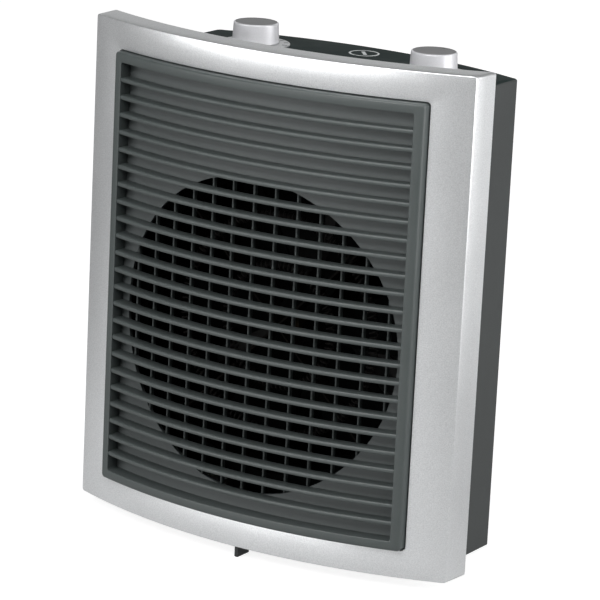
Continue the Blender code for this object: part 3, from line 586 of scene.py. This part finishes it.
def rear_housing(mats):
    low = HOUSING_LOW.z
    top = BOX_TOP
    foot = BEZEL_LOW.z + FLANGE_INSET
    high = BEZEL_HIGH.z - FLANGE_INSET
    outer = eased_prism(box_level, foot, top, 1.3 * MM)
    skirt = prism(box_outline(0, BEZEL_DEPTH + 0.3 * MM), low, foot + 4 * MM)
    flange = bowed_plate(FLANGE_HALF, foot, high, FLANGE_FRONT, BEZEL_DEPTH)
    gland_low, gland_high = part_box("cord_gland")
    gland = (gland_low + gland_high) / 2
    pad_y, pad_radius, pad_ease = gland_high.y - 3.7 * MM, 11.0 * MM, 0.8 * MM
    pad = turned(
        [(0, pad_y - 12 * MM), (pad_radius, pad_y - 12 * MM), (pad_radius, pad_y - pad_ease),
         (pad_radius - pad_ease, pad_y), (0, pad_y)], (gland.x, 0, gland.z), "Y", 64)
    room = prism(box_outline(WALL, BEZEL_DEPTH + WALL), low + WALL, top - WALL)
    mouth = prism(box_outline(WALL, FLANGE_FRONT - 4 * MM), foot + WALL, top - WALL - 0.5 * MM)
    cord_hole = level_cylinder(6.6 * MM, gland.x, gland.z, pad_y - 20 * MM, pad_y + 4 * MM)
    screw_holes = []
    for number in range(1, 5):
        screw_low, screw_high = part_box(f"housing_screw_{number}")
        at = (screw_low + screw_high) / 2
        y = bow(at.x)
        screw_holes.append(level_cylinder(2 * MM, at.x, at.z, y + 8 * MM, y + 26 * MM, 24))
    made = piece("housing_moulding", outer, mats["housing"], ["rear_housing"],
                 adds=[skirt, flange, pad],
                 cuts=[room, mouth, merged(*screw_holes), cord_hole, intake_slots()])
    made.data.materials.append(mats["housing_top"])
    made.data.materials.append(mats["inside"])
    skin, mouth_depth = 1.5 * MM, 9.0 * MM
    # Painted shade: faces deep inside the box get the near-black inside plastic, and the top faces get the
    # darker top copy.
    for polygon in made.data.polygons:
        x, y, z = polygon.center
        # How far the face's middle lies within the box's sides, back, top, bottom and front.
        margins = (BOX_HALF - abs(x), back_bow(x) - y, top - z, z - low, y - bow(x) - mouth_depth)
        if min(margins) > skin:
            polygon.material_index = 2
        elif polygon.normal.z > 0.9 and z > top - 1 * MM:
            polygon.material_index = 1


# ---------------------------------------------------------------- controls


def knob_profile(low, high, top_radius, base_radius):
    """Half section of a knob: hollow below, its side slightly tapered, a rounded rim and a flat top."""
    rim = 0.8 * MM
    top = high - KNOB_CAP_PROUD
    socket, pocket = 3.3 * MM, 8.6 * MM
    ceiling = low + 3.6 * MM
    roof = high - 2.4 * MM
    side = top_radius + 0.1 * MM
    profile = [(0, roof), (socket, roof), (socket, ceiling), (pocket, ceiling), (pocket, low)]
    profile += [(base_radius - 0.3 * MM, low), (base_radius, low + 0.3 * MM), (side, top - rim)]
    profile += arc((side - rim, top - rim), rim, 12, 90, 6)
    profile.append((0, top))
    return profile


def dial_marks(role, centre, z):
    """Printed marks round a dial: strokes of rising length, or dots of rising size."""
    marks = []
    thick = PRINT_THICK
    count = 11
    for number in range(count):
        angle = math.radians(215 - 250 * number / (count - 1))
        turn = Matrix.Translation((centre.x, centre.y, z)) @ Matrix.Rotation(angle, 4, "Z")
        if role == "thermostat":
            inner = 18.3 * MM - 3.0 * MM * number / (count - 1)
            mark = block((inner, -0.45 * MM, 0), (18.9 * MM, 0.45 * MM, thick))
        elif number % 3 == 1:
            size = 0.7 * MM + 0.12 * MM * number
            mark = turned([(0, 0), (size, 0), (size, thick), (0, thick)], (16.8 * MM, 0, 0), segments=20)
        else:
            continue
        bmesh.ops.transform(mark, matrix=turn, verts=mark.verts)
        marks.append(mark)
    return merged(*marks)


def control(role, mats):
    knob_low, knob_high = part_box(f"{role}_knob")
    dial_low, dial_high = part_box(f"{role}_dial")
    centre = (dial_low + dial_high) / 2
    base_radius = (knob_high.x - knob_low.x) / 2
    top_radius = base_radius - 0.6 * MM
    mesh = turned(knob_profile(knob_low.z, knob_high.z, top_radius, base_radius), (centre.x, centre.y, 0))
    far = centre.y + top_radius
    nub = block((centre.x - 0.9 * MM, far - 4.6 * MM, knob_high.z - 1.4 * MM),
                (centre.x + 0.9 * MM, far - 0.6 * MM, knob_high.z), 0.35 * MM)
    piece(f"{role}_knob_shell", mesh, mats["knob"], [f"{role}_knob"], f"{role}_control",
          adds=[nub])
    top = knob_high.z
    cap_radius = top_radius - 0.8 * MM
    cap = [(0, top - 0.4 * MM), (cap_radius, top - 0.4 * MM), (cap_radius, top - 0.08 * MM),
           (cap_radius - 0.08 * MM, top), (0, top)]
    piece(f"{role}_knob_cap", turned(cap, (centre.x, centre.y, 0)), mats["knob_cap"],
          body=f"{role}_control")
    radius = (dial_high.x - dial_low.x) / 2
    hole = 5.1 * MM
    ease = 0.25 * MM
    low, high = dial_low.z, dial_high.z
    ring = [(hole, low), (radius, low), (radius, high - ease), (radius - ease, high), (hole, high)]
    piece(f"{role}_dial_ring", turned(ring, (centre.x, centre.y, 0)), mats["silver"], [f"{role}_dial"])
    piece(f"{role}_dial_marks", dial_marks(role, centre, high), mats["dark_ink"])


def top_symbol(mats):
    """A printed ring with a short slanting bar, on the top between the knobs."""
    dial_low, dial_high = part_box("thermostat_dial")
    y = (dial_low.y + dial_high.y) / 2 + 22.5 * MM
    z = BOX_TOP
    thick = PRINT_THICK
    outer, inner = 8.7 * MM, 7.6 * MM
    ring = turned([(inner, z), (outer, z), (outer, z + thick), (inner, z + thick)], (0, y, 0))
    bar = block((-4.8 * MM, -1.0 * MM, 0), (4.8 * MM, 1.0 * MM, thick))
    turn = Matrix.Translation((0, y, z)) @ Matrix.Rotation(math.radians(-50), 4, "Z")
    bmesh.ops.transform(bar, matrix=turn, verts=bar.verts)
    piece("top_symbol", merged(ring, bar), mats["white_ink"])


# ---------------------------------------------------------------- small parts


def tip_paddle(mats):
    """The tip-over switch's toe, with eased edges and a wider head inside the bezel."""
    low, high = PADDLE_LOW, PADDLE_HIGH
    thick = 1.2 * MM
    blade = block((-thick, low.y, low.z), (thick, high.y, high.z - 0.5 * MM), 0.35 * MM)
    head = block((low.x, low.y + 2 * MM, high.z - 3.5 * MM), (high.x, high.y - 1 * MM, high.z), 0.3 * MM)
    piece("tip_toe", merged(blade, head), mats["black"], ["tip_switch_paddle"], "tip_paddle")


def cross_head(name, mats, node, axis):
    """A pan-head screw with a cross recess in place of a packed one. axis points out of the head."""
    low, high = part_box(node)
    centre = (low + high) / 2
    along = 1 if axis == "Y" else 2
    outward = high[along]
    head = (high.x - low.x) / 2
    total = high[along] - low[along]
    dome = [(head, -1.9 * MM), (head, -1.5 * MM)]
    dome += [(head * math.cos(a), -1.5 * MM + 1.5 * MM * math.sin(a)) for a in spread(0.2, math.pi / 2, 8)]
    profile = [(0, -total), (1.2 * MM, 1.2 * MM - total), (1.2 * MM, -1.9 * MM)] + dome[:-1]
    profile.append((0, 0))
    place = Vector((centre.x, 0, centre.z)) if axis == "Y" else Vector((centre.x, centre.y, 0))
    place[along] = outward
    mesh = turned(profile, place, axis, 40)
    bars = []
    for turn in (20, 110):
        bar = block((-head * 0.55, -0.45 * MM, -1.1 * MM), (head * 0.55, 0.45 * MM, 1 * MM))
        tip = {"Z": Matrix(), "Y": Matrix.Rotation(math.radians(-90), 4, "X")}[axis]
        spin = Matrix.Translation(place) @ tip @ Matrix.Rotation(math.radians(turn), 4, "Z")
        bmesh.ops.transform(bar, matrix=spin, verts=bar.verts)
        bars.append(bar)
    piece(f"{node}_cross", mesh, mats["steel"], [node], cuts=bars)


def cord_gland(mats):
    """The cord's bushing: an outer collar with eased edges and three fine grooves in its mouth."""
    low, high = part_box("cord_gland")
    centre = (low + high) / 2
    bore, sleeve, collar = 4.1 * MM, 6.3 * MM, (high.x - low.x) / 2
    back, seat = high.y, high.y - 3.4 * MM
    profile = [(bore, low.y), (sleeve, low.y), (sleeve, seat), (collar - 0.3 * MM, seat)]
    profile += [(collar, seat + 0.3 * MM), (collar, seat + 1.1 * MM), (collar - 0.5 * MM, seat + 1.7 * MM)]
    profile += [(sleeve + 0.4 * MM, back - 1.1 * MM), (sleeve - 0.2 * MM, back - 0.3 * MM)]
    profile += [(sleeve - 0.8 * MM, back), (bore + 0.4 * MM, back), (bore, back - 0.4 * MM)]
    for number in range(3):
        y = back - (1.2 + 1.1 * number) * MM
        profile += [(bore, y), (bore + 0.35 * MM, y - 0.3 * MM), (bore, y - 0.6 * MM)]
    piece("cord_bushing", turned(profile, (centre.x, 0, centre.z), "Y", 64), mats["black"],
          ["cord_gland"])


def coiled_wire(node, mats):
    """A ring of coiled resistance wire, in place of a plain packed ring."""
    low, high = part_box(node)
    centre = (low + high) / 2
    tube = (high.y - low.y) / 2
    wire = 0.55 * MM
    coil = tube - wire
    radius = (high.x - low.x) / 2 - tube
    turns = int(2 * math.pi * radius / (2.6 * wire * 2))
    per_turn = 10
    rings = []
    for step in range(turns * per_turn):
        along = 2 * math.pi * step / (turns * per_turn)
        around = 2 * math.pi * step / per_turn
        out = Vector((math.cos(along), 0, math.sin(along)))
        middle = Vector((centre.x, centre.y, centre.z)) + out * radius
        normal = out * math.cos(around) + Vector((0, 1, 0)) * math.sin(around)
        binormal = Vector((-math.sin(along), 0, math.cos(along)))
        at = middle + normal * coil
        rings.append([at + (normal * math.cos(a) + binormal * math.sin(a)) * wire
                      for a in spread(0, 2 * math.pi, 6)[:-1]])
    # The coils get the near-black painted shade of the box's inside.
    piece(f"{node}_wire", tube_of_rings(rings, loop=True), mats["wire"], [node])


def intake_filter(mats):
    """A bowed sheet behind the intake slots with a fine raised net on the side that faces them."""
    low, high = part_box("intake_filter")
    gap, thick, half_strand, edge = 0.5 * MM, 1.2 * MM, 0.3 * MM, 2.0 * MM
    rows, columns = 34, 38
    rear = WALL + gap
    sheet_rear, front = rear + thick / 2, rear + thick

    def bowed_bar(bottom, top, near, far):
        along = spread(low.x, high.x, 36)
        outline = [(x, back_bow(x) - near) for x in along]
        outline += [(x, back_bow(x) - far) for x in reversed(along)]
        return prism(outline, bottom, top)

    parts = [bowed_bar(low.z, high.z, front, sheet_rear)]
    for z in spread(low.z + edge, high.z - edge, rows):
        parts.append(bowed_bar(z - half_strand, z + half_strand, sheet_rear + 0.1 * MM, rear + 0.15 * MM))
    for x in spread(low.x + edge, high.x - edge, columns):
        near, far = back_bow(x) - sheet_rear - 0.1 * MM, back_bow(x) - rear - 0.1 * MM
        parts.append(block((x - half_strand, near, low.z), (x + half_strand, far, high.z)))
    piece("filter_net", merged(*parts), mats["net"], ["intake_filter"])


def finish_packed_nodes(mats):
    """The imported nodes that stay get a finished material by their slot."""
    # Painted shade: the black plastic, zinc steel, brass, mica and wire parts sit inside the box and get
    # near-black copies in place of their own tones.
    by_slot = {
        "charcoal_plastic": "charcoal", "black_plastic": "inside", "zinc_steel": "painted_shade_steel",
        "brass": "painted_shade_brass", "mica_board": "mica", "resistance_wire": "wire",
        "foot_rubber": "rubber", "white_nylon": "nylon", "silver_paint": "silver", "knob_silver": "knob",
    }
    slots = {row["node"]: row["material_slot"] for row in frame["record"]["subparts"]}
    for name, node in frame["nodes"].items():
        node.data.materials.clear()
        node.data.materials.append(mats[by_slot[slots[name]]])


# ---------------------------------------------------------------- stage, lights and camera


CAMERA_AIM = Vector((14.8, -29.75, 145.0)) * MM
CAMERA_AZIMUTH = 32.33
CAMERA_ELEVATION = 14.94
CAMERA_ROLL = 2.79
CAMERA_DISTANCE = 1862.3 * MM
CAMERA_LENS = 202.94

# Area lights: name, azimuth, elevation, distance, width, height, power.
SOFTBOXES = (
    ("front_box", -27, 5, 4.0, 3.5, 1.1, 70),
    ("key_box", -6, 34, 2.5, 0.9, 0.5, 19),
    ("fill_box", 62, 8, 2.2, 0.8, 1.2, 1.6),
    ("right_box", 105, 1, 1.6, 1.1, 1.9, 52),
    ("knob_box", 24, 40, 0.75, 0.5, 0.4, 2.6),
    ("back_box", 214, 14, 2.0, 2.8, 0.6, 2.8),
)
LIGHT_AIM = Vector((0, 0, 140)) * MM
OVERHEAD_STRENGTH = 0.9
OVERHEAD_SPREAD = 50
OVERHEAD_FROM = (-20, 78)

# The floor's glow: in the camera's rays, and in reflections near a spot before the heater.
FLOOR_GLOW = 0.86
POOL_GLOW = 0.5
POOL_CENTRE = (-0.15, -0.25, 0)
POOL_RADIUS = 0.5

WORLD_SEEN = (0.93, 0.935, 0.94, 1)
WORLD_LIT = (0.9, 0.95, 0.95, 1)
WORLD_LIT_STRENGTH = 0.05


def direction(azimuth, elevation):
    """Unit vector from the object towards an azimuth and elevation, in degrees; azimuth 0 is -Y."""
    a, e = math.radians(azimuth), math.radians(elevation)
    return Vector((math.sin(a) * math.cos(e), -math.cos(a) * math.cos(e), math.sin(e)))


def make_camera():
    data = bpy.data.cameras.new("camera")
    data.lens = CAMERA_LENS
    data.sensor_width = 36
    camera = bpy.data.objects.new("camera", data)
    bpy.context.scene.collection.objects.link(camera)
    back = direction(CAMERA_AZIMUTH, CAMERA_ELEVATION)
    level = Vector((math.cos(math.radians(CAMERA_AZIMUTH)), math.sin(math.radians(CAMERA_AZIMUTH)), 0))
    upright = back.cross(level)
    roll = math.radians(CAMERA_ROLL)
    right = level * math.cos(roll) + upright * math.sin(roll)
    up = upright * math.cos(roll) - level * math.sin(roll)
    turn = Matrix((right, up, back)).transposed().to_4x4()
    camera.matrix_world = Matrix.Translation(CAMERA_AIM + back * CAMERA_DISTANCE) @ turn
    bpy.context.scene.camera = camera


def softbox(name, azimuth, elevation, distance, width, height, power):
    """A rectangular area light that faces the heater's middle. Degrees, metres and watts."""
    data = bpy.data.lights.new(name, "AREA")
    data.shape = "RECTANGLE"
    data.size = width
    data.size_y = height
    data.energy = power
    lamp = bpy.data.objects.new(name, data)
    bpy.context.scene.collection.objects.link(lamp)
    out = direction(azimuth, elevation)
    lamp.location = LIGHT_AIM + out * distance
    lamp.rotation_mode = "QUATERNION"
    lamp.rotation_quaternion = (-out).to_track_quat("-Z", "Y")


def make_world():
    """A pale surround for the camera, and a darker one for light and reflections."""
    world = bpy.data.worlds.new("studio")
    world.use_nodes = True
    tree = world.node_tree
    tree.nodes.clear()
    out = tree.nodes.new("ShaderNodeOutputWorld")
    mix = tree.nodes.new("ShaderNodeMixShader")
    path = tree.nodes.new("ShaderNodeLightPath")
    seen = tree.nodes.new("ShaderNodeBackground")
    lit = tree.nodes.new("ShaderNodeBackground")
    seen.inputs["Color"].default_value = WORLD_SEEN
    lit.inputs["Color"].default_value = WORLD_LIT
    lit.inputs["Strength"].default_value = WORLD_LIT_STRENGTH
    tree.links.new(path.outputs["Is Camera Ray"], mix.inputs[0])
    tree.links.new(lit.outputs[0], mix.inputs[1])
    tree.links.new(seen.outputs[0], mix.inputs[2])
    tree.links.new(mix.outputs[0], out.inputs["Surface"])
    bpy.context.scene.world = world


def make_stage():
    """A pale floor under the heater. Its glow is only seen by the camera and in reflections."""
    made, tree, shader = new_material("floor_paper")
    paper = noise_node(tree, 3.0, 2.0)
    tone = two_tones(tree, paper, (0.31, 0.31, 0.31), (0.33, 0.33, 0.33))
    tree.links.new(tone, shader.inputs["Base Color"])
    shader.inputs["Roughness"].default_value = 0.9
    shader.inputs["Specular IOR Level"].default_value = 0.05
    path = tree.nodes.new("ShaderNodeLightPath")
    place = tree.nodes.new("ShaderNodeTexCoord")
    away = tree.nodes.new("ShaderNodeVectorMath")
    away.operation = "DISTANCE"
    away.inputs[1].default_value = POOL_CENTRE
    tree.links.new(place.outputs["Object"], away.inputs[0])
    mirrored = tree.nodes.new("ShaderNodeMath")
    mirrored.operation = "MULTIPLY"
    tree.links.new(path.outputs["Is Glossy Ray"], mirrored.inputs[0])
    pool = spread_to(tree, away.outputs["Value"], POOL_GLOW, 0.0, 0.0, POOL_RADIUS)
    tree.links.new(pool, mirrored.inputs[1])
    glow = tree.nodes.new("ShaderNodeMath")
    glow.operation = "MULTIPLY_ADD"
    glow.inputs[1].default_value = FLOOR_GLOW
    tree.links.new(path.outputs["Is Camera Ray"], glow.inputs[0])
    tree.links.new(mirrored.outputs[0], glow.inputs[2])
    shader.inputs["Emission Color"].default_value = (1, 1, 1, 1)
    tree.links.new(glow.outputs[0], shader.inputs["Emission Strength"])
    mesh = bmesh.new()
    bmesh.ops.create_grid(mesh, x_segments=2, y_segments=2, size=30.0)
    floor = mesh_object("floor", mesh)
    floor.data.materials.append(made)


def make_lights():
    for row in SOFTBOXES:
        softbox(*row)
    data = bpy.data.lights.new("overhead_light", "SUN")
    data.energy = OVERHEAD_STRENGTH
    data.angle = math.radians(OVERHEAD_SPREAD)
    lamp = bpy.data.objects.new("overhead_light", data)
    bpy.context.scene.collection.objects.link(lamp)
    lamp.rotation_mode = "QUATERNION"
    lamp.rotation_quaternion = (-direction(*OVERHEAD_FROM)).to_track_quat("-Z", "Y")
    bpy.context.scene.view_settings.view_transform = "Standard"
    bpy.context.scene.view_settings.look = "None"


def build():
    mats = make_materials()
    finish_packed_nodes(mats)
    front_bezel(mats)
    front_grille(mats)
    baffle_panel(mats)
    rear_housing(mats)
    for role in ("thermostat", "selector"):
        control(role, mats)
    top_symbol(mats)
    tip_paddle(mats)
    for number in range(1, 5):
        cross_head(f"housing_screw_{number}_head", mats, f"housing_screw_{number}", "Y")
    cord_gland(mats)
    for node in ("heating_coil_inner", "heating_coil_outer"):
        coiled_wire(node, mats)
    intake_filter(mats)
    make_stage()
    make_world()
    make_lights()
    make_camera()


build()
